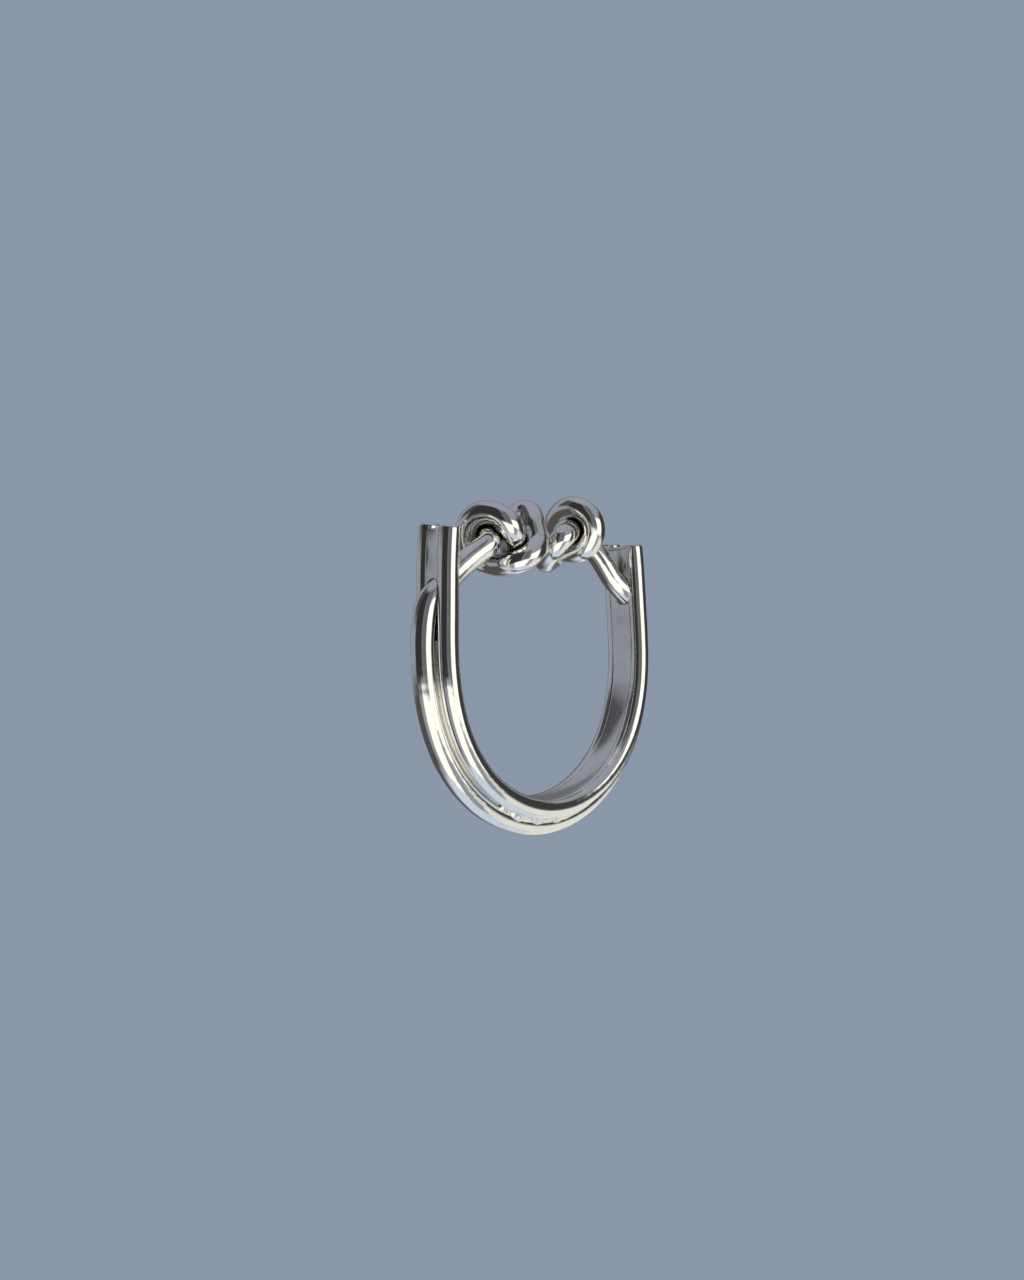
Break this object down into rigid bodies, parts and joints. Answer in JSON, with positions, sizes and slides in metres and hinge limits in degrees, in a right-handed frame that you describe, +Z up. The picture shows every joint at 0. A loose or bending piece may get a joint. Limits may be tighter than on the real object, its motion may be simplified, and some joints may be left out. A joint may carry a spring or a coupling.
{
  "type": "open-front knotted wire finger ring",
  "caption": "Finger ring of soldered round wire: an open U-shaped double shank with a thicker wire round it that ends in overhand knots meeting over the finger.",
  "frame": {"origin": "lowest point of the outer wire, midway between the legs and between the two shank wires", "axes": "+Z up from the bottom of the shank to the knots, Y along the finger, X from leg to leg"},
  "size_m": [0.0226, 0.0063, 0.0238],
  "materials": {
    "silver_wire": "hand-polished sterling silver with fine tumbling marks",
    "silver_solder": "filed and polished silver solder, slightly duller than the wire"
  },
  "bodies": {
    "root": {"front_shank_wire": "silver_wire", "rear_shank_wire": "silver_wire", "knotted_wire": "silver_wire", "inner_seam_solder": "silver_solder", "front_groove_solder": "silver_solder", "rear_groove_solder": "silver_solder", "left_entry_solder": "silver_solder", "right_entry_solder": "silver_solder"}
  },
  "joints": []
}
